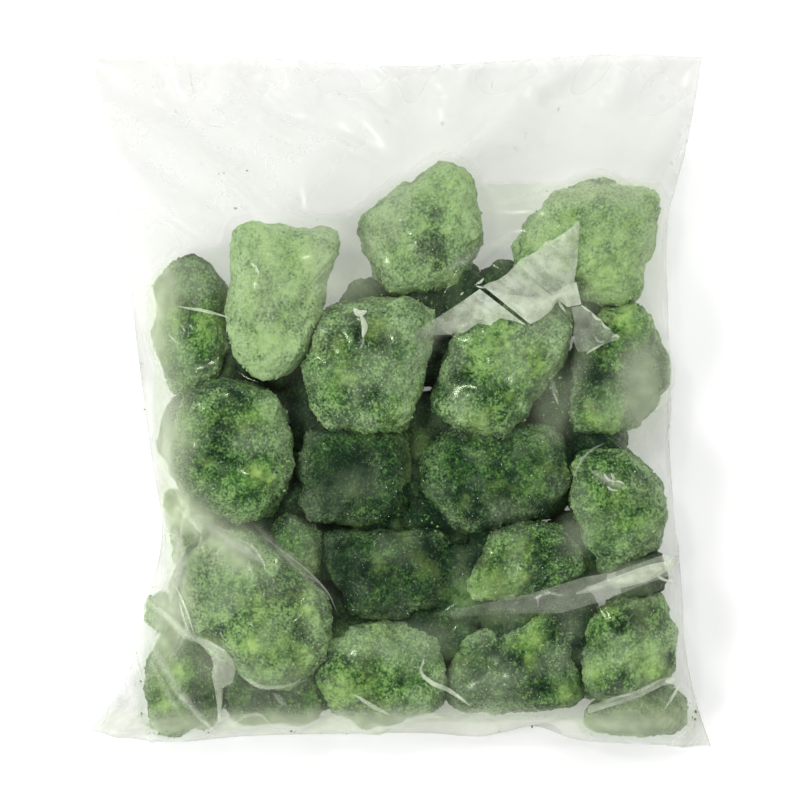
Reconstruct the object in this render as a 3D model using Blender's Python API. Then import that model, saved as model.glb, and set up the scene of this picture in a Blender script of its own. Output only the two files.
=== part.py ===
"""A clear sealed bag of frozen spinach portions, lying on its back with its front up.

Metres, +Z up. The top seal points to +Y, the bottom seal to -Y. The origin is on the surface that
the bag lies on, under the middle of its bounding box. The bag is one closed solid: its skin is the
film, drawn tight over the frozen portions, flat under them, and thin at the seals and the corners.
"""

import math

import bpy
import numpy as np

MM = 0.001

# Film
SEAL_THICKNESS = 1.2 * MM
SEAL_BAND = 8 * MM
FILM_GAP = 0.8 * MM

# Mesh of one side of the bag: cells across and along
CELLS_ACROSS = 46
CELLS_ALONG = 50

# Edge of the bag in plan, in millimetres. Each edge is a smooth curve through its points.
LEFT_EDGE = [(-123.6, -132.4), (-110, -113), (-102, -85), (-95, -54), (-99, -23),
             (-105, 23), (-109, 57), (-117, 91), (-122, 111), (-124.4, 137.6)]
RIGHT_EDGE = [(124.4, -138.4), (118.5, -121), (114, -99), (112.5, -75), (109, -41),
              (107, -5), (107, 31), (107.5, 74), (114, 99), (118, 119), (120.8, 137.2)]
BOTTOM_EDGE = [(-123.6, -132.4), (-94, -136.8), (-64, -134.4), (-26, -133.4), (13, -133.2),
               (32, -134.4), (54, -130.4), (70, -135.6), (88, -137.2), (124.4, -138.4)]
TOP_EDGE = [(-124.4, 137.6), (-70, 137.6), (-40, 136), (4, 133.6), (40, 135.6),
            (90, 138.4), (120.8, 137.2)]

# How high the edge lies, from the bottom corner to the top corner, as shares of the edge's length.
SIDE_EDGE_HEIGHT = [(0, 2.5), (0.12, 7), (0.3, 15), (0.55, 17), (0.75, 11), (0.9, 4), (1, 2)]
BOTTOM_EDGE_HEIGHT = [(0, 2.5), (0.2, 6), (0.5, 8), (0.8, 5), (1, 2.5)]
TOP_EDGE_HEIGHT = [(0, 2), (0.3, 4.5), (0.55, 2.5), (0.8, 5), (1, 2)]

# The outlines below are read off the photograph in its pixels, of this size and from this point
PIXEL = 0.4 * MM
PIXEL_MIDDLE = (401, 398)

# Frozen portions: height and lift of the underside off the floor in millimetres, and
# the corners of the outline in pixels
SHOWN_PORTIONS = [
    (31, 3, [(232, 300), (219, 275), (205, 253), (185, 257), (160, 285), (157, 330), (163, 366),
        (182, 392), (215, 385), (233, 345)]),
    (30, 17, [(347, 243), (322, 228), (248, 222), (238, 232), (236, 290), (224, 325), (243, 364),
        (272, 379), (306, 356), (320, 320), (328, 268)]),
    (32, 6, [(485, 231), (478, 200), (465, 168), (452, 159), (428, 172), (389, 194), (361, 216),
        (360, 232), (376, 260), (386, 297), (421, 298), (464, 272)]),
    (31, 19, [(430, 322), (420, 298), (333, 297), (318, 325), (303, 372), (312, 402), (322, 421),
        (345, 431), (397, 432), (412, 418), (426, 376)]),
    (33, 3, [(659, 237), (657, 192), (628, 184), (584, 178), (560, 190), (525, 222), (512, 252),
        (520, 278), (545, 304), (582, 304), (640, 299), (644, 258)]),
    (30, 18, [(572, 338), (565, 310), (520, 300), (470, 315), (445, 345), (428, 396), (436, 409),
        (464, 429), (494, 437), (516, 425), (532, 396), (558, 368)]),
    (32, 4, [(668, 385), (662, 345), (648, 310), (615, 298), (585, 325), (567, 370), (563, 412),
        (574, 435), (610, 438), (640, 419), (660, 402)]),
    (32, 14, [(293, 450), (289, 405), (262, 383), (215, 378), (180, 395), (170, 430), (172, 470),
        (190, 500), (225, 516), (260, 519), (282, 502), (293, 470)]),
    (32, 9, [(410, 470), (408, 425), (375, 415), (310, 415), (300, 460), (305, 505), (322, 522),
        (401, 521), (409, 500)]),
    (32, 8, [(571, 463), (562, 425), (520, 415), (440, 420), (424, 450), (426, 490), (440, 520),
        (468, 532), (505, 522), (562, 506)]),
    (33, 3, [(667, 518), (656, 480), (638, 453), (620, 438), (592, 441), (574, 455), (567, 485),
        (573, 520), (590, 566), (613, 566), (645, 557), (666, 540)]),
    (32, 7, [(446, 545), (440, 528), (330, 526), (322, 545), (332, 580), (345, 605), (360, 616),
        (405, 613), (445, 600)]),
    (32, 7, [(590, 560), (568, 533), (548, 520), (519, 519), (496, 528), (475, 560), (453, 600),
        (480, 603), (549, 590), (583, 578)]),
    (31, 15, [(340, 612), (330, 588), (298, 565), (262, 536), (238, 520), (210, 535), (195, 560),
        (180, 590), (186, 620), (210, 650), (240, 672), (275, 684), (305, 676), (330, 650)]),
    (28, 3, [(324, 540), (318, 515), (290, 510), (272, 520), (275, 560), (300, 578), (320, 572)]),
    (28, 3, [(325, 690), (318, 660), (270, 665), (228, 660), (223, 698), (235, 718), (300, 720),
        (322, 710)]),
    (30, 1, [(230, 700), (224, 662), (205, 636), (175, 622), (154, 648), (147, 690), (152, 722), (180, 730),
        (212, 726)]),
    (32, 3, [(442, 650), (437, 625), (405, 614), (345, 618), (320, 640), (312, 680), (325, 710),
        (370, 718), (430, 713), (443, 690)]),
    (32, 2, [(583, 680), (575, 640), (560, 613), (525, 611), (480, 624), (448, 645), (443, 680),
        (450, 706), (500, 712), (560, 704), (580, 696)]),
    (32, 3, [(677, 668), (671, 620), (665, 592), (650, 583), (610, 596), (588, 610), (580, 640),
        (584, 690), (600, 697), (640, 687), (668, 677)]),
    (24, 0.5, [(690, 705), (684, 684), (660, 678), (622, 691), (592, 699), (584, 716), (600, 729), (640, 731),
        (676, 727)]),
]

# Portions beneath the others: centre x and y, and radius
HIDDEN_PORTIONS = [
    (-50, 26, 22), (-6, 30, 22), (42, 34, 22), (-78, -14, 19), (-38, -6, 18),
    (14, -14, 20), (56, -28, 20), (-70, -74, 21), (24, -72, 21), (-26, -90, 19),
]
HIDDEN_HEIGHT = 29
HIDDEN_LIFT = 0.5

# Squareness of a portion seen from the side: 2 is an ellipse, more is a block with round corners
SIDE_POWER = 3.4

# How the corners of a portion's outline are rounded off: the turns in radians that it is averaged over
CORNER_ROUNDING = (-0.18, -0.06, 0.06, 0.18)

# How long the film is drawn tight, in rounds over the mesh.
TIGHTENING_ROUNDS = 700

# How far the weight of the heap presses its underside flat.
PRESSED_FLAT = 3.5 * MM

FILM_COLOUR = (0.62, 0.74, 0.52, 1.0)
FILM_ROUGHNESS = 0.32


def clear_scene():
    for found in list(bpy.data.objects):
        bpy.data.objects.remove(found, do_unlink=True)


def smooth_curve(points, share):
    """Points of a smooth curve through the given points, at shares 0 to 1 of its chord length."""
    knots = np.array(points, float)
    steps = np.linalg.norm(np.diff(knots, axis=0), axis=1)
    along = np.concatenate([[0.0], np.cumsum(steps)]) / steps.sum()
    slope = np.gradient(knots, along, axis=0)
    place = np.clip(np.searchsorted(along, share, side="right") - 1, 0, len(along) - 2)
    gap = (along[place + 1] - along[place])[:, None]
    t = ((share - along[place])[:, None]) / gap
    return ((2 * t**3 - 3 * t**2 + 1) * knots[place]
            + (t**3 - 2 * t**2 + t) * gap * slope[place]
            + (3 * t**2 - 2 * t**3) * knots[place + 1]
            + (t**3 - t**2) * gap * slope[place + 1])


def edge_height(stations, share):
    """Height of the edge in metres, eased between its stations."""
    at, height = np.array(stations, float).T
    return np.interp(share, at, height) * MM


def plan_grid():
    """x, y and edge height of every grid point: a patch stretched between the four edges."""
    across = np.linspace(0, 1, CELLS_ACROSS + 1)
    along = np.linspace(0, 1, CELLS_ALONG + 1)
    u, v = np.meshgrid(across, along, indexing="ij")

    def edge(points, stations, share):
        plan = smooth_curve(points, share) * MM
        return np.column_stack([plan, edge_height(stations, share)])

    left = edge(LEFT_EDGE, SIDE_EDGE_HEIGHT, along)
    right = edge(RIGHT_EDGE, SIDE_EDGE_HEIGHT, along)
    bottom = edge(BOTTOM_EDGE, BOTTOM_EDGE_HEIGHT, across)
    top = edge(TOP_EDGE, TOP_EDGE_HEIGHT, across)
    u, v = u[..., None], v[..., None]
    sides = (1 - u) * left[None] + u * right[None]
    ends = (1 - v) * bottom[:, None] + v * top[:, None]
    corners = ((1 - u) * (1 - v) * left[0] + u * (1 - v) * right[0]
               + (1 - u) * v * left[-1] + u * v * right[-1])
    return sides + ends - corners


def all_portions():
    """Centre, corners round it, height and lift of every portion, in metres."""
    portions = []
    for height, lift, outline in SHOWN_PORTIONS:
        corners = (np.array(outline, float) - PIXEL_MIDDLE) * (PIXEL, -PIXEL)
        centre = corners.mean(axis=0)
        portions.append((centre, corners - centre, height * MM, lift * MM))
    turn = np.arange(8)[:, None] * math.pi / 4
    octagon = np.hstack([np.cos(turn), np.sin(turn)])
    for x, y, radius in HIDDEN_PORTIONS:
        centre = np.array([x, y]) * MM
        portions.append((centre, octagon * radius * MM, HIDDEN_HEIGHT * MM, HIDDEN_LIFT * MM))
    return portions


def outline_reach(corners, dx, dy):
    """How far a portion's outline is from its centre in the direction of dx, dy."""
    angle = np.arctan2(corners[:, 1], corners[:, 0])
    order = np.argsort(angle)
    angle, away = angle[order], np.linalg.norm(corners[order], axis=1)
    angle = np.concatenate([angle, angle[:1] + 2 * math.pi])
    away = np.concatenate([away, away[:1]])
    reach = 0
    for shift in CORNER_ROUNDING:
        turn = angle[0] + (np.arctan2(dy, dx) + shift - angle[0]) % (2 * math.pi)
        edge = np.clip(np.searchsorted(angle, turn, side="right") - 1, 0, len(away) - 2)
        past, left = turn - angle[edge], angle[edge + 1] - turn
        near, far = away[edge], away[edge + 1]
        straight = near * far * np.sin(past + left) / (near * np.sin(past) + far * np.sin(left))
        reach = reach + straight / len(CORNER_ROUNDING)
    return reach


def portion_shell(portion, x, y):
    """Underside and top of one portion over the points x, y. Both are NaN outside it."""
    centre, corners, height, lift = portion
    dx, dy = x - centre[0], y - centre[1]
    share = np.hypot(dx, dy) / outline_reach(corners, dx, dy)
    inside = 1 - share ** SIDE_POWER
    half = height / 2 * np.where(inside > 0, inside, np.nan) ** (1 / SIDE_POWER)
    middle = lift + height / 2
    return middle - half, middle + half


def heap_of_portions(x, y, floor, ceiling):
    """Lowest and highest surface of the whole heap over x, y, with floor and ceiling outside it."""
    low, high = ceiling.copy(), floor.copy()
    for portion in all_portions():
        under, over = portion_shell(portion, x, y)
        low = np.fmin(low, under)
        high = np.fmax(high, over)
    return low, high


def neighbours_mean(z):
    return (z[:-2, 1:-1] + z[2:, 1:-1] + z[1:-1, :-2] + z[1:-1, 2:]) / 4


def drawn_tight(z, never_below=None, never_above=None):
    """The film as a taut skin: each point goes to its neighbours' mean, short of the heap."""
    for _ in range(TIGHTENING_ROUNDS):
        inner = neighbours_mean(z)
        if never_below is not None:
            inner = np.maximum(inner, never_below[1:-1, 1:-1])
        if never_above is not None:
            inner = np.minimum(inner, never_above[1:-1, 1:-1])
        z[1:-1, 1:-1] = inner
    return z


def film_sides():
    """Front and back of the film as arrays of points, with the seal's thickness between them."""
    grid = plan_grid()
    x, y, edge = grid[..., 0], grid[..., 1], grid[..., 2]
    low, high = heap_of_portions(x, y, edge, edge)
    front = drawn_tight(np.maximum(edge, high + FILM_GAP), never_below=high + FILM_GAP)
    pressed = low - PRESSED_FLAT
    back = drawn_tight(np.minimum(edge, pressed), never_above=pressed)
    back = np.maximum(back, 0.0)

    # The two films meet at the seals, and lie together in the seal bands.
    middle = (front + back) / 2
    ends = np.minimum(y - y[:, :1], y[:, -1:] - y)
    sealed = np.clip(1.5 - ends / SEAL_BAND, 0, 1)
    front = front * (1 - sealed) + middle * sealed
    back = back * (1 - sealed) + middle * sealed
    half = SEAL_THICKNESS / 2
    front = np.maximum(front, back + SEAL_THICKNESS)
    rim = np.ones_like(front, bool)
    rim[1:-1, 1:-1] = False
    front[rim] = edge[rim] + half
    back[rim] = edge[rim] - half
    back = np.minimum(back, front - SEAL_THICKNESS)
    lift = -min(0.0, back.min())
    return (np.stack([x, y, front + lift], axis=-1),
            np.stack([x, y, back + lift], axis=-1))


def bag_mesh():
    """One closed mesh: the front grid, the back grid and the strip of seal round them."""
    front, back = film_sides()
    rows, columns = front.shape[:2]
    points = np.concatenate([front.reshape(-1, 3), back.reshape(-1, 3)])
    behind = rows * columns

    def number(i, j):
        return i * columns + j

    faces = []
    for i in range(rows - 1):
        for j in range(columns - 1):
            quad = [number(i, j), number(i + 1, j), number(i + 1, j + 1), number(i, j + 1)]
            diagonal = (i + j) % 2
            for triangle in ((0, 1, 2), (0, 2, 3)) if diagonal else ((0, 1, 3), (1, 2, 3)):
                faces.append([quad[k] for k in triangle])
                faces.append([quad[k] + behind for k in reversed(triangle)])
    ring = ([number(i, 0) for i in range(rows)]
            + [number(rows - 1, j) for j in range(1, columns)]
            + [number(i, columns - 1) for i in range(rows - 2, -1, -1)]
            + [number(0, j) for j in range(columns - 2, 0, -1)])
    for here, after in zip(ring, ring[1:] + ring[:1]):
        faces.append([here + behind, after + behind, after])
        faces.append([here + behind, after, here])
    mesh = bpy.data.meshes.new("spinach_bag")
    mesh.from_pydata([tuple(p) for p in points], [], faces)
    mesh.validate()
    mesh.update()
    return mesh


def film_material():
    material = bpy.data.materials.new("filled_film")
    material.use_nodes = True
    shader = material.node_tree.nodes["Principled BSDF"]
    shader.inputs["Base Color"].default_value = FILM_COLOUR
    shader.inputs["Roughness"].default_value = FILM_ROUGHNESS
    shader.inputs["Metallic"].default_value = 0.0
    return material


def build_bag():
    mesh = bag_mesh()
    mesh.shade_smooth()
    bag = bpy.data.objects.new("spinach_bag", mesh)
    bag.data.materials.append(film_material())
    bpy.context.scene.collection.objects.link(bag)
    return bag


clear_scene()
build_bag()
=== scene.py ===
"""Looks of a clear sealed bag of frozen spinach portions, seen from straight above.

The film is a draped sheet with folds, the portions are frosted blocks of chopped leaf, and loose
ice grains and leaf crumbs lie between them. Metres, +Z up, top seal towards +Y.
"""
import math

import bpy
import numpy as np
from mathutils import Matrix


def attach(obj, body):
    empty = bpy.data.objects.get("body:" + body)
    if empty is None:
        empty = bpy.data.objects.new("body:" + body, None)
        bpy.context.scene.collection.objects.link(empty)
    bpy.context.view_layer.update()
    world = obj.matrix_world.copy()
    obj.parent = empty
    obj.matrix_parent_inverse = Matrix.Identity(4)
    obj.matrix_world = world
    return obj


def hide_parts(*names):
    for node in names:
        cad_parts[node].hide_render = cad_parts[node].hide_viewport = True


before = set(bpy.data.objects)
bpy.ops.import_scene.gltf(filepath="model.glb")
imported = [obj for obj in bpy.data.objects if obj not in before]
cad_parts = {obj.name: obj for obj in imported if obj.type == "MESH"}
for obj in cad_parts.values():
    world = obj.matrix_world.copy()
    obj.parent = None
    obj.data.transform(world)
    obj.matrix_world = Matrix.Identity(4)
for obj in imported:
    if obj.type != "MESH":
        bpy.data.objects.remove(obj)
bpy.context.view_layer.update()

MM = 0.001

# Camera: the photograph spans this width of the bag, seen from high above with a long lens
VIEW_WIDTH = 320 * MM
CAMERA_HEIGHT = 5.0
SENSOR = 36.0

# Edge of the bag in plan, in millimetres, as in the part. Each edge is a smooth curve
LEFT_EDGE = [(-123.6, -132.4), (-110, -113), (-102, -85), (-95, -54), (-99, -23),
             (-105, 23), (-109, 57), (-117, 91), (-122, 111), (-124.4, 137.6)]
RIGHT_EDGE = [(124.4, -138.4), (118.5, -121), (114, -99), (112.5, -75), (109, -41),
              (107, -5), (107, 31), (107.5, 74), (114, 99), (118, 119), (120.8, 137.2)]
BOTTOM_EDGE = [(-123.6, -132.4), (-94, -136.8), (-64, -134.4), (-26, -133.4), (13, -133.2),
               (32, -134.4), (54, -130.4), (70, -135.6), (88, -137.2), (124.4, -138.4)]
TOP_EDGE = [(-124.4, 137.6), (-70, 137.6), (-40, 136), (4, 133.6), (40, 135.6),
            (90, 138.4), (120.8, 137.2)]
SIDE_EDGE_HEIGHT = [(0, 2.5), (0.12, 7), (0.3, 15), (0.55, 17), (0.75, 11), (0.9, 4), (1, 2)]
BOTTOM_EDGE_HEIGHT = [(0, 2.5), (0.2, 6), (0.5, 8), (0.8, 5), (1, 2.5)]
TOP_EDGE_HEIGHT = [(0, 2), (0.3, 4.5), (0.55, 2.5), (0.8, 5), (1, 2)]

# The outlines below are read off the photograph in its pixels, of this size and from this point
PIXEL = 0.4 * MM
PIXEL_MIDDLE = (401, 398)

# Frozen portions: height and lift of the underside off the floor in millimetres, how pale the
# frost makes it from 0 to 1, where values below 0.35 darken it with painted shade instead, and
# the corners of its outline in pixels
SHOWN_PORTIONS = [
    (31, 3, 0.55, [(232, 300), (219, 275), (205, 253), (185, 257), (160, 285), (157, 330),
        (163, 366), (182, 392), (215, 385), (233, 345)]),
    (30, 17, 1.0, [(347, 243), (322, 228), (248, 222), (238, 232), (236, 290), (224, 325),
        (243, 364), (272, 379), (306, 356), (320, 320), (328, 268)]),
    (32, 6, 0.85, [(485, 231), (478, 200), (465, 168), (452, 159), (428, 172), (389, 194),
        (361, 216), (360, 232), (376, 260), (386, 297), (421, 298), (464, 272)]),
    (31, 19, 0.6, [(430, 322), (420, 298), (333, 297), (318, 325), (303, 372), (312, 402),
        (322, 421), (345, 431), (397, 432), (412, 418), (426, 376)]),
    (33, 3, 0.85, [(659, 237), (657, 192), (628, 184), (584, 178), (560, 190), (525, 222),
        (512, 252), (520, 278), (545, 304), (582, 304), (640, 299), (644, 258)]),
    (30, 18, 0.6, [(572, 338), (565, 310), (520, 300), (470, 315), (445, 345), (428, 396),
        (436, 409), (464, 429), (494, 437), (516, 425), (532, 396), (558, 368)]),
    (32, 4, 0.42, [(668, 385), (662, 345), (648, 310), (615, 298), (585, 325), (567, 370),
        (563, 412), (574, 435), (610, 438), (640, 419), (660, 402)]),
    (32, 14, 0.5, [(293, 450), (289, 405), (262, 383), (215, 378), (180, 395), (170, 430),
        (172, 470), (190, 500), (225, 516), (260, 519), (282, 502), (293, 470)]),
    (32, 9, 0.0, [(410, 470), (408, 425), (375, 415), (310, 415), (300, 460), (305, 505),
        (322, 522), (401, 521), (409, 500)]),
    (32, 8, 0.12, [(571, 463), (562, 425), (520, 415), (440, 420), (424, 450), (426, 490),
        (440, 520), (468, 532), (505, 522), (562, 506)]),
    (33, 3, 0.62, [(667, 518), (656, 480), (638, 453), (620, 438), (592, 441), (574, 455),
        (567, 485), (573, 520), (590, 566), (613, 566), (645, 557), (666, 540)]),
    (32, 7, -0.08, [(446, 545), (440, 528), (330, 526), (322, 545), (332, 580), (345, 605),
        (360, 616), (405, 613), (445, 600)]),
    (32, 7, 0.45, [(590, 560), (568, 533), (548, 520), (519, 519), (496, 528), (475, 560),
        (453, 600), (480, 603), (549, 590), (583, 578)]),
    (31, 15, 0.64, [(340, 612), (330, 588), (298, 565), (262, 536), (238, 520), (210, 535),
        (195, 560), (180, 590), (186, 620), (210, 650), (240, 672), (275, 684), (305, 676),
        (330, 650)]),
    (28, 9, 0.3, [(324, 540), (318, 515), (290, 510), (272, 520), (275, 560), (300, 578),
        (320, 572)]),
    (28, 3, 0.35, [(325, 690), (318, 660), (270, 665), (228, 660), (223, 698), (235, 718),
        (300, 720), (322, 710)]),
    (30, 2, 0.45, [(230, 700), (224, 662), (205, 636), (175, 622), (154, 648), (147, 690),
        (152, 722), (180, 730), (212, 726)]),
    (32, 3, 0.62, [(442, 650), (437, 625), (405, 614), (345, 618), (320, 640), (312, 680),
        (325, 710), (370, 718), (430, 713), (443, 690)]),
    (32, 2, 0.42, [(583, 680), (575, 640), (560, 613), (525, 611), (480, 624), (448, 645),
        (443, 680), (450, 706), (500, 712), (560, 704), (580, 696)]),
    (32, 3, 0.62, [(677, 668), (671, 620), (665, 592), (650, 583), (610, 596), (588, 610),
        (580, 640), (584, 690), (600, 697), (640, 687), (668, 677)]),
    (24, 0.5, 0.5, [(690, 705), (684, 684), (660, 678), (622, 691), (592, 699), (584, 716),
        (600, 729), (640, 731), (676, 727)]),
    (13, 1, 0.95, [(152, 602), (165, 590), (184, 597), (192, 618), (184, 632), (162, 632),
        (149, 618)]),
    (20, 2, 0.95, [(173, 524), (190, 512), (207, 530), (202, 560), (186, 574), (173, 555)]),
    (16, 3, 0.95, [(170, 488), (190, 492), (215, 510), (212, 524), (190, 520), (172, 508)]),
]

# Portions beneath the others, darkened with painted shade: centre x and y, and radius
HIDDEN_PORTIONS = [
    (-50, 26, 22), (-6, 30, 22), (42, 34, 22), (-78, -14, 19), (-38, -4, 19), (14, -14, 20),
    (56, -28, 20), (-70, -74, 21), (24, -72, 21), (-26, -90, 19), (18, 40, 18), (62, 2, 17),
    (-44, -34, 16), (70, -58, 15), (66, -88, 15), (16, -47, 17), (16, -92, 15), (-66, 8, 15),
    (-63, -48, 15), (44, -88, 13), (78, -16, 14), (-30, -60, 15), (-8, -50, 11), (96, -70, 9),
    (72, 34, 10), (72, -98, 12), (-34, -116, 9), (34, -54, 9), (6, -33, 9), (16, 16, 12),
]
HIDDEN_HEIGHT = 29
HIDDEN_LIFT = 0.5
# Frost on the hidden portions, low enough that it darkens them with painted shade
HIDDEN_FROST_AND_SHADE = -0.05
# More painted shade that darkens the hidden portions
HIDDEN_PAINTED_SHADE = -0.25
SIDE_POWER = 3.4

# Turns in radians that a portion's outline is averaged over, which rounds off its corners
CORNER_ROUNDING = (-0.18, -0.06, 0.06, 0.18)
# Lumps, knobs and crags of a portion: how wide they are, and how high from dip to crest
LUMPS = (20 * MM, 13.0 * MM)
KNOBS = (8 * MM, 6.0 * MM)
CRAGS = (2.6 * MM, 3.0 * MM)
LOWEST_POINT = 0.6 * MM
# Cells of a portion's mesh across, along and up it, and the crumbs frozen on it
SHOWN_CELLS = (52, 52, 32)
HIDDEN_CELLS = (22, 22, 14)
CRUMBS_SHOWN = 420
CRUMBS_HIDDEN = 80

# Places where the leaf is bright yellow-green, or, where the strength is below 0, darkened with
# painted shade as in a hollow: x, y and radius in the photograph's pixels, and strength
LEAF_TINT_AND_SHADE_PATCHES = [
    (456, 178, 18, 0.9), (470, 205, 12, 0.6), (175, 315, 12, 0.8), (215, 322, 12, 0.7),
    (268, 240, 15, 0.6), (314, 262, 15, 0.6), (275, 345, 16, 0.5), (250, 300, 14, 0.4),
    (610, 282, 30, 0.8), (640, 255, 14, 0.5), (624, 320, 13, 0.7), (615, 420, 14, 0.5),
    (258, 471, 9, 0.7), (273, 479, 8, 0.7), (262, 410, 10, 0.5), (464, 590, 16, 0.7),
    (254, 643, 10, 0.9), (308, 605, 9, 0.9), (318, 619, 7, 0.9), (280, 655, 20, 0.4),
    (240, 560, 18, 0.4), (335, 692, 16, 0.7), (360, 680, 18, 0.4), (610, 608, 8, 0.7),
    (654, 664, 12, 0.7), (591, 668, 10, 0.7), (500, 345, 24, 0.4), (540, 365, 18, 0.5),
    (480, 425, 14, 0.4), (340, 370, 16, 0.3), (400, 420, 14, 0.4), (520, 545, 14, 0.4),
    (380, 560, 12, 0.4), (178, 668, 13, 0.9), (168, 700, 10, 0.6), (196, 690, 12, -0.5),
    (180, 650, 8, -0.4), (185, 712, 10, 0.5), (530, 640, 14, 0.5), (570, 690, 12, 0.5),
    (358, 333, 6, -1.0), (386, 338, 13, -0.9), (462, 372, 16, -0.5), (636, 615, 14, -0.8),
    (600, 375, 16, -0.5), (430, 245, 14, -0.6), (440, 210, 9, -0.5), (225, 430, 16, -0.4),
    (340, 470, 30, -0.4), (345, 560, 24, -0.4), (520, 500, 20, -0.3), (270, 590, 14, -0.4),
    (210, 560, 12, -0.4), (480, 560, 10, -0.5), (500, 650, 16, -0.4), (640, 500, 14, -0.4),
]

# Levels that the front and the back film are draped through. A level is cells across, cells
# along, steps, fall in each step, and roughness put in beforehand
FRONT_LEVELS = [
    (40, 44, 150, 0.014 * MM, 1.2 * MM),
    (80, 88, 120, 0.005 * MM, 0.10 * MM),
    (160, 176, 90, 0.002 * MM, 0.03 * MM),
    (200, 224, 40, 0.001 * MM, 0.0),
]
BACK_LEVELS = [
    (40, 44, 60, 0.010 * MM, 1.0 * MM),
    (100, 112, 40, 0.002 * MM, 0.05 * MM),
    (200, 224, 12, 0.001 * MM, 0.0),
]
# Extra film across and along, over the heap and in the empty head, which begins between these
HEAP_SLACK = (0.010, 0.006)
HEAD_SLACK = (0.006, 0.004)
HEAD_FROM = 70 * MM
HEAD_TO = 105 * MM
FILM_GAP = 0.5 * MM
FRICTION = 0.6
DAMPING = 0.5
BENDING = 0.02
TAUT_ROUNDS = 250
EVENING_ROUNDS = 60
BACK_FLOOR = -0.2 * MM

# Folds that the film keeps, in millimetres: start, end, half width, and extra film across it
FOLDS = [
    (15, -86, 110, -66, 5, 0.5), (-88, 37, -66, 32, 2, 0.3), (-92, -42, -48, -66, 3, 0.4),
    (-50, -58, -24, -80, 3, 0.4), (-118, -128, -80, -88, 4, 0.4), (-112, -131, -68, -110, 4, 0.35),
    (-100, -133, -62, -122, 3, 0.3), (-20, -116, -2, -126, 2, 0.4), (74, -124, 110, -111, 3, 0.4),
    (73, 76, 18, 34, 4, 0.5), (72, 38, 90, 24, 2, 0.5), (-42, 122, -78, 60, 6, 0.1),
    (-2, 128, -42, 78, 6, 0.1), (30, 132, 24, 104, 5, 0.1),
]
# Short wrinkles below the top seal: x of each, its length, and how far it leans
TOP_WRINKLES = [
    (-102, 12, 2), (-92, 26, 5), (-81, 17, 3), (-68, 20, -3), (-57, 12, 0), (-43, 16, -4),
    (-26, 22, 4), (-12, 12, 2), (11, 15, 5), (17, 24, -3), (33, 13, 0), (48, 17, 4), (63, 21, -4),
    (78, 15, 3), (90, 18, -5), (104, 12, -2),
]

# Milky places in the film, one of them painted shade: centre x and y, half length, half width, turn
# in degrees, and strength
VEILS = [
    (-87, 47, 16, 10, 20, 0.1), (-99, 30, 30, 6, 90, 0.16), (-96, -18, 30, 6, 95, 0.16),
    (-47, 46, 20, 24, 0, 0.09), (-6, 70, 22, 8, 55, 0.16), (-18, 46, 12, 7, 10, 0.16),
    (10, 22, 9, 4, 60, 0.08), (95, 72, 10, 20, 0, 0.1), (78, 84, 26, 7, 5, 0.2),
    (97, 4, 11, 20, 0, 0.34), (-91, -16, 9, 32, 0, 0.26), (-94, 38, 7, 26, 0, 0.22),
    (-30, 62, 7, 18, 0, 0.14), (95, -126, 24, 9, 0, 0.14), (-50, -118, 20, 12, 0, 0.08),
    (-94, -108, 18, 28, 0, 0.05), (-40, -57, 8, 13, 0, 0.03), (31, -114, 16, 9, 0, 0.09),
    (70, -54, 6, 8, 0, 0.13), (68, -88, 5, 8, 0, 0.07), (60, -3, 7, 15, 0, 0.11),
    (-90, -86, 8, 20, -14, 0.26), (-94, -60, 9, 24, -10, 0.12), (-72, -105, 8, 9, 0, 0.14),
    (-70, -52, 24, 9, -30, 0.12), (0, -96, 26, 7, 5, 0.08), (92, -70, 14, 5, 10, 0.2),
    (56, 30, 10, 20, -60, 0.05), (70, 8, 4, 16, -20, 0.1), (-102, -60, 10, 40, 8, 0.1),
    (60, -80, 30, 5, 8, 0.08), (0, -129, 110, 6, 0, 0.4), (-84, -46, 12, 8, -30, 0.35),
    (-68, -60, 14, 8, -30, 0.2), (-60, -80, 30, 24, 0, 0.04), (70, 40, 12, 7, 0, 0.1),
    # On the next line, the veil at 44, 80 greys the film as painted shade between portions in the
    # head
    (44, 80, 16, 22, 0, 0.14), (-15, 84, 20, 12, 20, 0.06), (50, 112, 70, 30, 0, 0.08),
]
VEIL_GAIN = 1.4
# How milky the front film is where it hangs over the floor, and the back film everywhere
BARE_HAZE = 0.33
BACK_HAZE = 0.12
# Height of what lies under the film below which it counts as bare, and the hem along the bottom
# seal, tinted with painted light of the leaf shining green through it: where it starts and how
# far on it is full
BARE_BELOW = 8 * MM
HEM_FROM = -118 * MM
HEM_WIDTH = 10 * MM
# Streaks that fan out from the bottom corners: the corner, how far they reach, and how milky
FANS = [(-124, -134, 60, 0.20), (124, -138, 50, 0.22)]

# Points along a fold of doubled film, along a crease and across both, and how far above the
# film they lie
FLAP_POINTS = 48
CREASE_POINTS = 40
FLAP_ACROSS = 9
FLAP_ABOVE = 0.35 * MM
FLAP_HALF_THICKNESS = 0.05 * MM
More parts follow.
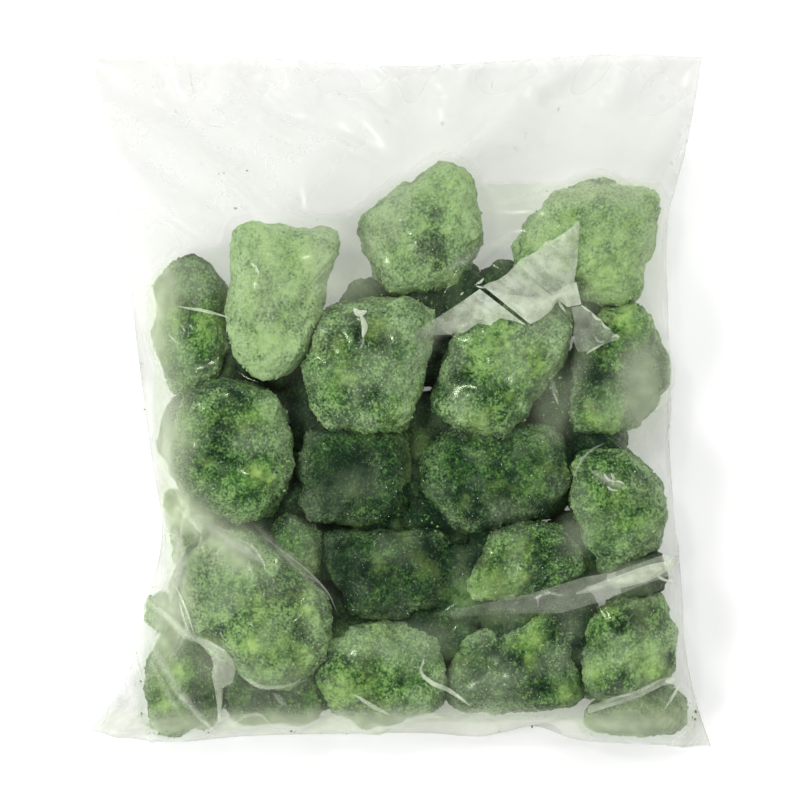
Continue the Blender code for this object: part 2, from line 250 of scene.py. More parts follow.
# Folds of doubled film that stand out: their two edges in pixels, how high they stand in
# millimetres, and how milky they are where they start and where they end
FLAPS = [
    # The first two make the large facet: milky doubled film, its milk partly a painted reflection
    # of a lamp
    ([(578, 220), (566, 231), (553, 239), (545, 241), (536, 251), (521, 258), (507, 273),
      (498, 279), (489, 282), (483, 285)],
     [(579, 222), (578, 240), (577, 262), (574, 280), (578, 290), (581, 303), (567, 306),
      (562, 299), (556, 301), (551, 309), (540, 318), (530, 323)], 3.0, 0.44, 0.66),
    ([(485, 287), (505, 293), (530, 296), (555, 291), (568, 283), (576, 281)],
     [(487, 288), (530, 323), (540, 318), (551, 309), (556, 301), (562, 299), (567, 306),
      (581, 303)], 3.6, 0.6, 0.8),
    ([(480, 288), (460, 302), (440, 315), (418, 328)],
     [(526, 324), (515, 320), (500, 317), (490, 324), (478, 322), (465, 331), (450, 333),
      (430, 334), (418, 331)], 2.0, 0.78, 0.06),
    ([(581, 304), (590, 311), (600, 319), (610, 329), (618, 336)],
     [(571, 306), (574, 322), (572, 338), (577, 350), (590, 350), (605, 342), (618, 338)],
     2.0, 0.24, 0.24),
    ([(431, 610), (455, 606), (528, 591), (583, 574), (613, 569), (662, 552), (680, 553)],
     [(431, 611), (451, 613), (519, 610), (558, 610), (605, 597), (635, 584), (668, 573),
      (680, 556)], 2.5, 0.02, 0.28),
    ([(576, 589), (621, 571), (646, 562), (676, 556)],
     [(576, 591), (624, 584), (648, 578), (676, 563)], 2.0, 0.5, 1.5),
    ([(588, 702), (613, 693), (635, 687), (662, 674), (675, 673)],
     [(588, 710), (613, 702), (635, 696), (662, 682), (675, 678)], 1.5, 0.28, 0.34),
    ([(200, 632), (215, 638), (228, 646), (236, 656), (238, 668), (235, 679), (226, 683),
      (224, 700), (222, 718)],
     [(199, 636), (212, 648), (216, 660), (214, 672), (217, 684), (219, 700), (221, 717)],
     2.0, 0.26, 0.34),
]
# Thin creases, each a low ridge whose milky white is a painted glint: the points of each in
# pixels, its half width at the middle in millimetres, and how milky it is
GLINT_CREASES = [
    ([(180, 305), (213, 311), (231, 316)], 0.6, 0.5),
    ([(171, 333), (181, 342)], 0.4, 0.4),
    ([(355, 307), (360, 312), (368, 310)], 1.3, 0.8),
    ([(362, 313), (366, 326), (364, 336)], 1.2, 0.75),
    ([(425, 655), (422, 668), (433, 679), (447, 685), (458, 692), (471, 702)], 0.9, 0.6),
    ([(355, 690), (372, 701), (391, 711)], 0.8, 0.5),
    ([(635, 578), (654, 571), (662, 576), (678, 579)], 0.6, 0.7),
    ([(664, 706), (679, 682)], 0.6, 0.5),
    ([(603, 471), (608, 477), (614, 479)], 0.5, 0.7),
    ([(610, 470), (613, 476), (612, 482)], 0.5, 0.6),
    ([(613, 479), (619, 479), (624, 482)], 0.4, 0.7),
    ([(606, 483), (611, 487), (618, 488)], 0.5, 0.5),
    ([(581, 304), (586, 308), (591, 311)], 0.5, 0.8),
    ([(591, 311), (596, 317), (601, 319)], 0.6, 0.8),
    ([(601, 320), (604, 325), (610, 328)], 0.5, 0.75),
    ([(611, 336), (615, 334), (619, 336)], 0.5, 0.7),
    ([(594, 334), (598, 340), (604, 340)], 0.5, 0.65),
    ([(603, 342), (594, 347), (586, 352)], 0.5, 0.7),
    ([(478, 283), (481, 281), (484, 277)], 0.5, 0.75),
    ([(476, 285), (480, 286), (486, 287)], 0.4, 0.6),
    ([(461, 294), (464, 291)], 0.4, 0.7),
    ([(553, 391), (556, 397), (558, 403)], 0.4, 0.6),
    ([(557, 295), (560, 303), (565, 311)], 0.6, 0.5),
    ([(178, 582), (188, 603), (197, 630)], 0.4, 0.5),
]
# Soft milky streaks in the film, in the same way, a few of them painted glints. They fade out at
# their edges
STREAKS = [
    ([(590, 468), (606, 477), (626, 486)], 2.6, 0.3),
    ([(572, 480), (578, 463), (592, 447), (606, 440)], 0.8, 0.3),
    ([(150, 598), (168, 612), (188, 630), (212, 640), (230, 652)], 2.4, 0.3),
    ([(150, 630), (165, 660), (182, 688), (205, 715), (218, 728)], 2.8, 0.3),
    ([(172, 680), (190, 700), (206, 718), (216, 728)], 1.2, 0.32),
    ([(182, 598), (187, 616), (194, 633)], 0.5, 0.35),
    ([(205, 522), (225, 532), (245, 545), (268, 562)], 4.5, 0.34),
    ([(236, 534), (255, 544), (268, 563)], 0.9, 0.35),
    ([(173, 502), (200, 518), (230, 532)], 3.0, 0.3),
    ([(262, 530), (285, 548), (310, 568), (330, 590), (340, 612)], 0.6, 0.28),
    ([(255, 520), (280, 545), (310, 572), (330, 596)], 3.4, 0.12),
    ([(165, 510), (180, 545), (178, 575), (172, 600)], 4.4, 0.26),
    ([(152, 655), (170, 690), (190, 722)], 2.0, 0.2),
    ([(236, 720), (248, 712), (262, 711), (274, 722)], 1.1, 0.4),
    ([(240, 668), (262, 682), (292, 681)], 1.4, 0.25),
    ([(275, 688), (290, 704)], 2.0, 0.2),
    ([(222, 684), (223, 700), (221, 719)], 0.9, 0.4),
    ([(505, 300), (450, 325), (400, 340)], 4.4, 0.16),
    ([(524, 228), (485, 248), (430, 276)], 4.0, 0.12),
    # Next: painted glint below the bright crease on the fourth portion
    ([(365, 333), (364, 343), (361, 348)], 0.7, 0.35),
    ([(221, 533), (240, 543), (256, 552), (269, 560)], 2.6, 0.2),
    ([(279, 543), (300, 566), (321, 580), (335, 597)], 1.0, 0.16),
    ([(244, 672), (261, 681), (279, 683), (298, 678), (308, 670)], 0.9, 0.2),
    # Next: painted glint along a small bright crease
    ([(551, 376), (554, 390), (558, 403)], 1.6, 0.2),
    # Next: painted glint in the head
    ([(298, 199), (300, 194)], 0.8, 0.4),
    ([(191, 70), (194, 90)], 0.5, 0.25),
    ([(205, 124), (226, 126)], 0.5, 0.25),
    ([(474, 134), (466, 146)], 0.6, 0.3),
    ([(528, 130), (526, 138)], 0.6, 0.3),
    ([(494, 78), (492, 88)], 0.5, 0.3),
]

# Loose leaf crumbs: centre x and y, half width and half height of the place, and how many
CRUMB_PLACES = [
    (-105, -110, 3, 9, 7), (-99, -86, 2, 10, 6), (-103, -127, 7, 4, 14), (118, -126, 3, 5, 8),
    (4, 44, 14, 6, 30), (-46, -28, 4, 8, 20), (62, 4, 5, 10, 30), (14, -46, 10, 8, 30),
    (40, 100, 60, 22, 24), (-50, 90, 40, 24, 14), (-102, 10, 2, 40, 8), (-94, -133, 8, 1.5, 16),
    (0, -132, 90, 2, 24),
]
GRAINS = 900

# Plan of the height map that the film is draped over
MAP_STEP = 1.0 * MM
MAP_CORNER = (-0.140, -0.150)
MAP_SIZE = (281, 301)
GAP_REACH = 14


class Socket:
    """One output of a node tree. Arithmetic on it adds the Math nodes."""

    def __init__(self, tree, link):
        self.tree = tree
        self.link = link

    def math(self, operation, *others):
        return add_node(self.tree, "ShaderNodeMath", {"operation": operation},
                        dict(enumerate((self,) + others)))

    def __add__(self, other):
        return self.math("ADD", other)

    def __radd__(self, other):
        return self.math("ADD", other)

    def __sub__(self, other):
        return self.math("SUBTRACT", other)

    def __rsub__(self, other):
        return add_node(self.tree, "ShaderNodeMath", {"operation": "SUBTRACT"}, {0: other, 1: self})

    def __mul__(self, other):
        return self.math("MULTIPLY", other)

    def __rmul__(self, other):
        return self.math("MULTIPLY", other)

    def __truediv__(self, other):
        return self.math("DIVIDE", other)

    def __pow__(self, other):
        return self.math("POWER", other)

    def __abs__(self):
        return self.math("ABSOLUTE")

    def clamped(self):
        return add_node(self.tree, "ShaderNodeClamp", {}, {0: self})

    def between(self, low, high):
        """0 below low, 1 above high, smooth in between."""
        return add_node(self.tree, "ShaderNodeMapRange", {"interpolation_type": "SMOOTHSTEP"},
                        {"Value": self, "From Min": low, "From Max": high})

    def part(self, number):
        """x, y or z of a vector."""
        return add_node(self.tree, "ShaderNodeSeparateXYZ", {}, {0: self}, number)


def add_node(tree, kind, settings=None, inputs=None, output=0):
    """A new node with its settings, then its socket values or links. Returns one output."""
    node = tree.nodes.new(kind)
    for name, value in (settings or {}).items():
        setattr(node, name, value)
    for name, value in (inputs or {}).items():
        if isinstance(value, Socket):
            tree.links.new(value.link, node.inputs[name])
        else:
            node.inputs[name].default_value = value
    return Socket(tree, node.outputs[output])


def mix_colour(tree, share, first, second):
    return add_node(tree, "ShaderNodeMix", {"data_type": "RGBA"},
                    {0: share, 6: first, 7: second}, 2)


def vector_math(tree, operation, first, second):
    return add_node(tree, "ShaderNodeVectorMath", {"operation": operation}, {0: first, 1: second})


def new_material(name, **plain):
    """A material with one Principled shader. Returns it, its tree and the shader node."""
    material = bpy.data.materials.new(name)
    material.use_nodes = True
    tree = material.node_tree
    shader = tree.nodes["Principled BSDF"]
    for socket, value in plain.items():
        shader.inputs[socket.replace("_", " ")].default_value = value
    return material, tree, shader


def feed(tree, shader, **links):
    for socket, value in links.items():
        tree.links.new(value.link, shader.inputs[socket.replace("_", " ")])


def noise(tree, place, size, detail=2.0, seed=0.0):
    """Noise from 0 to 1 whose features are about this size in metres."""
    return add_node(tree, "ShaderNodeTexNoise", {"noise_dimensions": "4D"},
                    {"Vector": place, "W": seed, "Scale": 1 / size, "Detail": detail})


def attribute(tree, name):
    return add_node(tree, "ShaderNodeAttribute", {"attribute_name": name}, {}, "Fac")


def object_place(tree):
    return add_node(tree, "ShaderNodeTexCoord", {}, {}, "Object")


# Frozen chopped spinach

# The first colour below is the near-black leaf that painted shade darkens towards
PAINTED_SHADE_LEAF = (0.002, 0.018, 0.007, 1)
DARK_LEAF = (0.003, 0.022, 0.008, 1)
MID_LEAF = (0.080, 0.225, 0.036, 1)
LIGHT_LEAF = (0.290, 0.455, 0.145, 1)
YELLOW_LEAF = (0.400, 0.590, 0.150, 1)
FROST = (0.440, 0.590, 0.340, 1)
RIME = (0.410, 0.550, 0.310, 1)


def spinach_material():
    material, tree, shader = new_material("frozen_spinach", Roughness=0.6, Metallic=0.0)
    place = object_place(tree)
    tone = attribute(tree, "tone") - 0.5
    frost = attribute(tree, "pale")
    pale = frost.math("MAXIMUM", 0.35) - 0.5
    # Yellow-green leaf tint, and painted shade where it is below 0
    leaf_tint_and_shade = attribute(tree, "leaf_tint_and_shade")
    grain = noise(tree, place, 1.1 * MM, 3.0, 1.1)
    shred = noise(tree, place, 2.8 * MM, 3.0, 8.3)
    patch = noise(tree, place, 9 * MM, 3.0, 1.7)
    broad = noise(tree, place, 30 * MM, 1.0, 5.1)

    leaf = 0.44 * grain + 0.24 * shred + 0.32 * patch + 0.2 * (broad - 0.5) + 0.08 * tone
    leaf = leaf + 0.14 * pale + 0.10 * leaf_tint_and_shade
    colour = mix_colour(tree, leaf.between(0.37, 0.58), DARK_LEAF, MID_LEAF)
    light = 0.42 * grain + 0.24 * shred + 0.34 * patch + 0.08 * tone + 0.22 * pale
    colour = mix_colour(tree, light.between(0.46, 0.65), colour, LIGHT_LEAF)
    yellow = 0.35 * noise(tree, place, 15 * MM, 2.0, 9.3).between(0.52, 0.72)
    yellow = (yellow + leaf_tint_and_shade.clamped() * shred.between(0.30, 0.62)).clamped()
    colour = mix_colour(tree, yellow * 0.85, colour, YELLOW_LEAF)
    # Painted shade: dark patches, hidden portions and portions with little frost are darkened
    painted_shade = ((0 - leaf_tint_and_shade).clamped() + 1.2 * (0.35 - frost).clamped()).clamped()

    rime = (noise(tree, place, 16 * MM, 3.0, 7.7) + 0.25 * pale).between(0.42, 0.64)
    rim = attribute(tree, "rim") * patch.between(0.35, 0.60)
    frosted = (rime * 0.26 + rim * grain.between(0.35, 0.60) * (0.26 + 0.26 * pale))
    colour = mix_colour(tree, frosted, colour, RIME)
    speck = noise(tree, place, 1.1 * MM, 3.0, 3.3) + 0.05 * (rime - 0.5) + 0.08 * pale + 0.06 * tone
    colour = mix_colour(tree, speck.between(0.50, 0.66) * 0.46, colour, FROST)
    colour = mix_colour(tree, painted_shade * 0.8, colour, PAINTED_SHADE_LEAF)

    relief = 0.6 * grain + 0.6 * noise(tree, place, 0.8 * MM, 3.0, 2.2)
    bump = add_node(tree, "ShaderNodeBump", {}, {"Strength": 0.8, "Distance": 0.5 * MM,
                                                 "Height": relief})
    feed(tree, shader, Base_Color=colour, Normal=bump, Roughness=0.75 - 0.25 * speck)
    return material


def crumb_material():
    material, tree, shader = new_material("leaf_crumb", Roughness=0.6)
    shade = noise(tree, object_place(tree), 2.5 * MM, 1.0, 4.4).between(0.4, 0.65)
    feed(tree, shader, Base_Color=mix_colour(tree, shade, MID_LEAF, LIGHT_LEAF))
    return material


def ice_material():
    return new_material("ice_grain", Base_Color=(0.80, 0.85, 0.80, 1), Roughness=0.3)[0]


def portion_tree(material):
    """Geometry Nodes: a round-cornered block with lumps and crags, and crumbs frozen on it."""
    tree = bpy.data.node_groups.new("spinach_portion", "GeometryNodeTree")
    face = tree.interface
    face.new_socket("Size", in_out="INPUT", socket_type="NodeSocketVector")
    face.new_socket("Pale", in_out="INPUT", socket_type="NodeSocketFloat")
    face.new_socket("Seed", in_out="INPUT", socket_type="NodeSocketFloat")
    face.new_socket("Cells Across", in_out="INPUT", socket_type="NodeSocketInt")
    face.new_socket("Cells Along", in_out="INPUT", socket_type="NodeSocketInt")
    face.new_socket("Cells High", in_out="INPUT", socket_type="NodeSocketInt")
    face.new_socket("Crumbs", in_out="INPUT", socket_type="NodeSocketInt")
    face.new_socket("Geometry", in_out="OUTPUT", socket_type="NodeSocketGeometry")
    source = tree.nodes.new("NodeGroupInput")

    def given(name):
        return Socket(tree, source.outputs[name])

    cube = add_node(tree, "GeometryNodeMeshCube", {}, {
        "Size": (2, 2, 2), "Vertices X": given("Cells Across"),
        "Vertices Y": given("Cells Along"), "Vertices Z": given("Cells High")})
    place = add_node(tree, "GeometryNodeInputPosition")
    x, y, z = place.part(0), place.part(1), place.part(2)
    across = (x * x + y * y) ** (SIDE_POWER / 2)
    reach = (across + abs(z) ** SIDE_POWER) ** (1 / SIDE_POWER)
    rounded = add_node(tree, "ShaderNodeCombineXYZ", {}, {0: x / reach, 1: y / reach, 2: z / reach})
    half = vector_math(tree, "SCALE", given("Size"), (0, 0, 0))
    half.link.node.inputs["Scale"].default_value = 0.5
    sized = vector_math(tree, "MULTIPLY", rounded, half)
    block = add_node(tree, "GeometryNodeSetPosition", {}, {"Geometry": cube, "Position": sized})
    rim = ((x * x + y * y) ** 0.5 / reach).between(0.86, 0.97)
    block = add_node(tree, "GeometryNodeStoreNamedAttribute", {},
                     {"Geometry": block, "Name": "rim", 3: rim})

    place = add_node(tree, "GeometryNodeInputPosition")
    normal = add_node(tree, "GeometryNodeInputNormal")
    seed = given("Seed")
    lumps = (noise(tree, place, LUMPS[0], 1.0, seed) - 0.5) * LUMPS[1]
    knobs = (noise(tree, place, KNOBS[0], 2.0, seed + 3.1) - 0.5) * KNOBS[1]
    crags = (noise(tree, place, CRAGS[0], 2.0, seed + 7.7) - 0.5) * CRAGS[1]
    height = lumps + knobs + crags
    move = vector_math(tree, "SCALE", normal, (0, 0, 0))
    tree.links.new(height.link, move.link.node.inputs["Scale"])
    block = add_node(tree, "GeometryNodeSetPosition", {}, {"Geometry": block, "Offset": move})
    block = add_node(tree, "GeometryNodeSetShadeSmooth", {}, {"Geometry": block})

    chip = add_node(tree, "GeometryNodeMeshIcoSphere", {}, {"Radius": 1 * MM, "Subdivisions": 1})
    chip = add_node(tree, "GeometryNodeTransform", {}, {"Geometry": chip, "Scale": (0.9, 0.7, 0.5)})
    area = add_node(tree, "GeometryNodeInputMeshFaceArea")
    whole = add_node(tree, "GeometryNodeAttributeStatistic", {"domain": "FACE"},
                     {"Geometry": block, 2: area}, "Sum")
    points = add_node(tree, "GeometryNodeDistributePointsOnFaces", {},
                      {"Mesh": block, "Density": given("Crumbs") / whole})
    turn = Socket(tree, points.link.node.outputs["Rotation"])
    draw = add_node(tree, "FunctionNodeRandomValue", {"data_type": "FLOAT_VECTOR"},
                    {0: (-1.2, -1.2, 0.0), 1: (1.2, 1.2, 6.28), "Seed": 5})
    tilt = add_node(tree, "FunctionNodeEulerToRotation", {}, {0: draw})
    turn = add_node(tree, "FunctionNodeRotateRotation", {"rotation_space": "LOCAL"},
                    {0: turn, 1: tilt})
    size = add_node(tree, "FunctionNodeRandomValue", {"data_type": "FLOAT"},
                    {2: 0.35, 3: 1.1, "Seed": 6}, 1)
    crumbs = add_node(tree, "GeometryNodeInstanceOnPoints", {},
                      {"Points": points, "Instance": chip, "Rotation": turn, "Scale": size})
    tone = add_node(tree, "FunctionNodeRandomValue", {"data_type": "FLOAT"},
                    {2: 0.0, 3: 1.0, "Seed": 7}, 1)
    crumbs = add_node(tree, "GeometryNodeStoreNamedAttribute", {"domain": "INSTANCE"},
                      {"Geometry": crumbs, "Name": "tone", 3: tone})
    crumbs = add_node(tree, "GeometryNodeRealizeInstances", {}, {"Geometry": crumbs})

    joined = tree.nodes.new("GeometryNodeJoinGeometry")
    tree.links.new(crumbs.link, joined.inputs[0])
    tree.links.new(block.link, joined.inputs[0])
    whole = add_node(tree, "GeometryNodeRealizeInstances", {},
                     {"Geometry": Socket(tree, joined.outputs[0])})
    whole = add_node(tree, "GeometryNodeStoreNamedAttribute", {},
                     {"Geometry": whole, "Name": "pale", 3: given("Pale")})
    finished = add_node(tree, "GeometryNodeSetMaterial", {}, {"Geometry": whole,
                                                             "Material": material})
    end = tree.nodes.new("NodeGroupOutput")
    tree.links.new(finished.link, end.inputs["Geometry"])
    return tree


def grown(name, tree, values, start=None):
    """A plain mesh object from a Geometry Nodes tree with these named input values."""
    mesh = start or bpy.data.meshes.new(name)
    seed_object = bpy.data.objects.new(name + "_seed", mesh)
    bpy.context.scene.collection.objects.link(seed_object)
    modifier = seed_object.modifiers.new("grow", "NODES")
    modifier.node_group = tree
    for item in tree.interface.items_tree:
        if item.in_out == "INPUT" and item.name in values:
            modifier[item.identifier] = values[item.name]
    graph = bpy.context.evaluated_depsgraph_get()
    result = bpy.data.meshes.new_from_object(seed_object.evaluated_get(graph))
    bpy.data.objects.remove(seed_object, do_unlink=True)
    piece = bpy.data.objects.new(name, result)
    bpy.context.scene.collection.objects.link(piece)
    return piece


def in_metres(pixels):
    """Places in the bag's plan of these pixels of the photograph."""
    return (np.array(pixels, float) - PIXEL_MIDDLE) * (PIXEL, -PIXEL)


def all_portions():
    """Centre, corners round it, height, lift and paleness of every portion, in metres."""
    portions = []
    for height, lift, pale, outline in SHOWN_PORTIONS:
        corners = in_metres(outline)
        centre = corners.mean(axis=0)
        portions.append((centre, corners - centre, height * MM, lift * MM, pale))
    turn = np.arange(8)[:, None] * math.pi / 4
    octagon = np.hstack([np.cos(turn), np.sin(turn)])
    for x, y, radius in HIDDEN_PORTIONS:
        centre = np.array([x, y]) * MM
        corners = octagon * radius * MM
        portions.append((centre, corners, HIDDEN_HEIGHT * MM, HIDDEN_LIFT * MM, HIDDEN_FROST_AND_SHADE))
    return portions


def mean_reach(corners):
    return np.linalg.norm(corners, axis=1).mean()


def outline_reach(corners, dx, dy):
    """How far a portion's outline is from its centre in the direction of dx, dy."""
    angle = np.arctan2(corners[:, 1], corners[:, 0])
    order = np.argsort(angle)
    angle, away = angle[order], np.linalg.norm(corners[order], axis=1)
    angle = np.concatenate([angle, angle[:1] + 2 * math.pi])
    away = np.concatenate([away, away[:1]])
    reach = 0
    for shift in CORNER_ROUNDING:
        turn = angle[0] + (np.arctan2(dy, dx) + shift - angle[0]) % (2 * math.pi)
        edge = np.clip(np.searchsorted(angle, turn, side="right") - 1, 0, len(away) - 2)
        past, left = turn - angle[edge], angle[edge + 1] - turn
        near, far = away[edge], away[edge + 1]
        straight = near * far * np.sin(past + left) / (near * np.sin(past) + far * np.sin(left))
        reach = reach + straight / len(CORNER_ROUNDING)
    return reach


def placed(piece, portion):
    """Give the round block its portion's outline in its mesh, and put it in its place."""
    centre, corners, height, lift, _ = portion
    points = mesh_points(piece)
    scale = outline_reach(corners, points[:, 0], points[:, 1]) / mean_reach(corners)
    plan = points[:, :2] * scale[:, None] + centre
    z = np.maximum(points[:, 2] + lift + height / 2, LOWEST_POINT)
    piece.data.vertices.foreach_set("co", np.column_stack([plan, z]).ravel())
    piece.data.update()


def paint_tint_and_shade(piece, shade):
    """Give every point its share of the yellow-green leaf patches and of the painted shade."""
    points = mesh_points(piece)
    leaf_tint_and_shade = np.full(len(points), shade)
    # Patches with a strength below 0 are painted shade
    for x, y, radius, strength in LEAF_TINT_AND_SHADE_PATCHES:
        away = np.linalg.norm(points[:, :2] - in_metres([x, y]), axis=1) / (radius * PIXEL)
        leaf_tint_and_shade += strength * np.exp(-away**2)
    piece.data.attributes.new("leaf_tint_and_shade", "FLOAT", "POINT").data.foreach_set("value", leaf_tint_and_shade)


def mesh_points(piece):
    points = np.empty(len(piece.data.vertices) * 3)
    piece.data.vertices.foreach_get("co", points)
    return points.reshape(-1, 3)


def make_portions(material):
    tree = portion_tree(material)
    pieces = []
    for number, portion in enumerate(all_portions()):
        shown = number < len(SHOWN_PORTIONS)
        count = SHOWN_CELLS if shown else HIDDEN_CELLS
        width = 2 * mean_reach(portion[1])
        piece = grown("portion_%02d" % (number + 1), tree, {
            "Size": (width, width, portion[2]),
            "Pale": float(portion[4]),
            "Seed": number * 2.37,
            "Cells Across": count[0],
            "Cells Along": count[1],
            "Cells High": count[2],
            "Crumbs": CRUMBS_SHOWN if shown else CRUMBS_HIDDEN,
        })
        placed(piece, portion)
        paint_tint_and_shade(piece, 0.0 if shown else HIDDEN_PAINTED_SHADE)
        pieces.append(piece)
    return pieces


def scatter_tree(name, material):
    """Geometry Nodes: a chip at every point of a mesh, turned and sized at random."""
    tree = bpy.data.node_groups.new(name, "GeometryNodeTree")
    face = tree.interface
    face.new_socket("Geometry", in_out="INPUT", socket_type="NodeSocketGeometry")
    face.new_socket("Size", in_out="INPUT", socket_type="NodeSocketVector")
    face.new_socket("Smallest", in_out="INPUT", socket_type="NodeSocketFloat")
    face.new_socket("Geometry", in_out="OUTPUT", socket_type="NodeSocketGeometry")
    source = tree.nodes.new("NodeGroupInput")

    def given(name):
        return Socket(tree, source.outputs[name])

    chip = add_node(tree, "GeometryNodeMeshIcoSphere", {}, {"Radius": 0.5, "Subdivisions": 1})
    chip = add_node(tree, "GeometryNodeTransform", {}, {"Geometry": chip, "Scale": given("Size")})
    points = add_node(tree, "GeometryNodeMeshToPoints", {}, {"Mesh": given("Geometry")})
    turn = add_node(tree, "FunctionNodeRandomValue", {"data_type": "FLOAT_VECTOR"},
                    {0: (-0.7, -0.7, 0.0), 1: (0.7, 0.7, 6.28), "Seed": 1})
    size = add_node(tree, "FunctionNodeRandomValue", {"data_type": "FLOAT"},
                    {2: given("Smallest"), 3: 1.0, "Seed": 2}, 1)
    chips = add_node(tree, "GeometryNodeInstanceOnPoints", {},
                     {"Points": points, "Instance": chip, "Rotation": turn, "Scale": size * size})
    chips = add_node(tree, "GeometryNodeRealizeInstances", {}, {"Geometry": chips})
    chips = add_node(tree, "GeometryNodeSetMaterial", {}, {"Geometry": chips, "Material": material})
    end = tree.nodes.new("NodeGroupOutput")
    tree.links.new(chips.link, end.inputs["Geometry"])
    return tree


def scattered(name, material, places, size, smallest):
    """One mesh of chips at these points."""
    start = bpy.data.meshes.new(name + "_places")
    start.from_pydata([tuple(place) for place in places], [], [])
    return grown(name, scatter_tree(name + "_tree", material),
                 {"Size": size, "Smallest": smallest}, start)


def make_ice_grains(pieces, top):
    """Grains of ice on the parts of the heap that show from above."""
    points = np.concatenate([mesh_points(piece) for piece in pieces])
    showing = points[points[:, 2] > top.at(points)[:, 0] - 2.5 * MM]
    draw = np.random.default_rng(8)
    places = showing[draw.choice(len(showing), GRAINS, replace=False)]
    places[:, 2] += 0.1 * MM
    return scattered("ice_grains", ice_material(), places, (0.6 * MM, 0.5 * MM, 0.45 * MM), 0.45)


def make_leaf_crumbs(film_top):
    """Loose crumbs against the film, in the corners and between the portions."""
    draw = np.random.default_rng(9)
    places = []
    for cx, cy, wide, tall, count in CRUMB_PLACES:
        spot = draw.normal(size=(count, 2)) * (wide / 2, tall / 2) + (cx, cy)
        spot = np.clip(spot, (cx - wide, cy - tall), (cx + wide, cy + tall)) * MM
        height = film_top.at(spot)[:, 0] - 1.3 * MM
        spot, height = spot[height > 0.8 * MM], height[height > 0.8 * MM]
        places.append(np.column_stack([spot, height]))
    return scattered("leaf_crumbs", crumb_material(), np.concatenate(places),
                     (1.8 * MM, 1.1 * MM, 0.5 * MM), 0.4)


# The film's edge and plan

def smooth_curve(points, share):
    """Points of a smooth curve through the given points, at shares 0 to 1 of its chord length."""
    knots = np.array(points, float)
    steps = np.linalg.norm(np.diff(knots, axis=0), axis=1)
    along = np.concatenate([[0.0], np.cumsum(steps)]) / steps.sum()
    slope = np.gradient(knots, along, axis=0)
    place = np.clip(np.searchsorted(along, share, side="right") - 1, 0, len(along) - 2)
    gap = (along[place + 1] - along[place])[:, None]
    t = ((share - along[place])[:, None]) / gap
    return ((2 * t**3 - 3 * t**2 + 1) * knots[place]
            + (t**3 - 2 * t**2 + t) * gap * slope[place]
            + (3 * t**2 - 2 * t**3) * knots[place + 1]
            + (t**3 - t**2) * gap * slope[place + 1])


def plan_grid(cells_across, cells_along):
    """The film's grid, stretched between its four edges: x, y and the height of the edges."""
    across = np.linspace(0, 1, cells_across + 1)
    along = np.linspace(0, 1, cells_along + 1)

    def edge(points, stations, share):
        at, height = np.array(stations, float).T
        return np.column_stack([smooth_curve(points, share), np.interp(share, at, height)]) * MM

    left = edge(LEFT_EDGE, SIDE_EDGE_HEIGHT, along)
    right = edge(RIGHT_EDGE, SIDE_EDGE_HEIGHT, along)
    bottom = edge(BOTTOM_EDGE, BOTTOM_EDGE_HEIGHT, across)
    top = edge(TOP_EDGE, TOP_EDGE_HEIGHT, across)
    u, v = np.meshgrid(across, along, indexing="ij")
    u, v = u[..., None], v[..., None]
    sides = (1 - u) * left[None] + u * right[None]
    ends = (1 - v) * bottom[:, None] + v * top[:, None]
    corners = ((1 - u) * (1 - v) * left[0] + u * (1 - v) * right[0]
               + (1 - u) * v * left[-1] + u * v * right[-1])
    return sides + ends - corners


# What the film lies on

class Relief:
    """A height map with its slopes, read at any points."""

    def __init__(self, heights):
        slope_x = np.gradient(heights, MAP_STEP, axis=0)
        slope_y = np.gradient(heights, MAP_STEP, axis=1)
        self.layers = np.stack([heights, slope_x, slope_y], axis=-1)

    def at(self, points):
        gx = np.clip((points[..., 0] - MAP_CORNER[0]) / MAP_STEP, 0, MAP_SIZE[0] - 1.001)
        gy = np.clip((points[..., 1] - MAP_CORNER[1]) / MAP_STEP, 0, MAP_SIZE[1] - 1.001)
        i, j = gx.astype(int), gy.astype(int)
        fx, fy = (gx - i)[..., None], (gy - j)[..., None]
        near = self.layers[i, j] * (1 - fx) + self.layers[i + 1, j] * fx
        far = self.layers[i, j + 1] * (1 - fx) + self.layers[i + 1, j + 1] * fx
        return near * (1 - fy) + far * fy


def spread(heights):
    """Each cell takes the highest of itself and its neighbours."""
    wide = heights.copy()
    wide[1:] = np.maximum(wide[1:], heights[:-1])
    wide[:-1] = np.maximum(wide[:-1], heights[1:])
    tall = wide.copy()
    tall[:, 1:] = np.maximum(tall[:, 1:], wide[:, :-1])
    tall[:, :-1] = np.maximum(tall[:, :-1], wide[:, 1:])
    return tall


def eased(field, rounds):
    for _ in range(rounds):
        inner = (field[:-2, 1:-1] + field[2:, 1:-1] + field[1:-1, :-2] + field[1:-1, 2:]) / 4
        field = field.copy()
        field[1:-1, 1:-1] = (field[1:-1, 1:-1] + inner) / 2
    return field


def gaps_filled(heights, reach):
    """The heights with every gap narrower than twice the reach, in cells, filled in."""
    for _ in range(reach):
        heights = spread(heights)
    for _ in range(reach):
        heights = -spread(-heights)
    return heights


def heap_reliefs(pieces):
    """The heap's top, its underside turned over, and its top with the gaps filled."""
    points = np.concatenate([mesh_points(piece) for piece in pieces])
    i = ((points[:, 0] - MAP_CORNER[0]) / MAP_STEP + 0.5).astype(int)
    j = ((points[:, 1] - MAP_CORNER[1]) / MAP_STEP + 0.5).astype(int)
    top = np.zeros(MAP_SIZE)
    np.maximum.at(top, (i, j), points[:, 2])
    under = np.full(MAP_SIZE, -60 * MM)
    np.maximum.at(under, (i, j), -points[:, 2])
    top = spread(top)
    whole = gaps_filled(top, GAP_REACH)
    return Relief(eased(top, 2)), Relief(eased(spread(under), 2)), Relief(eased(whole, 6))


# Draping

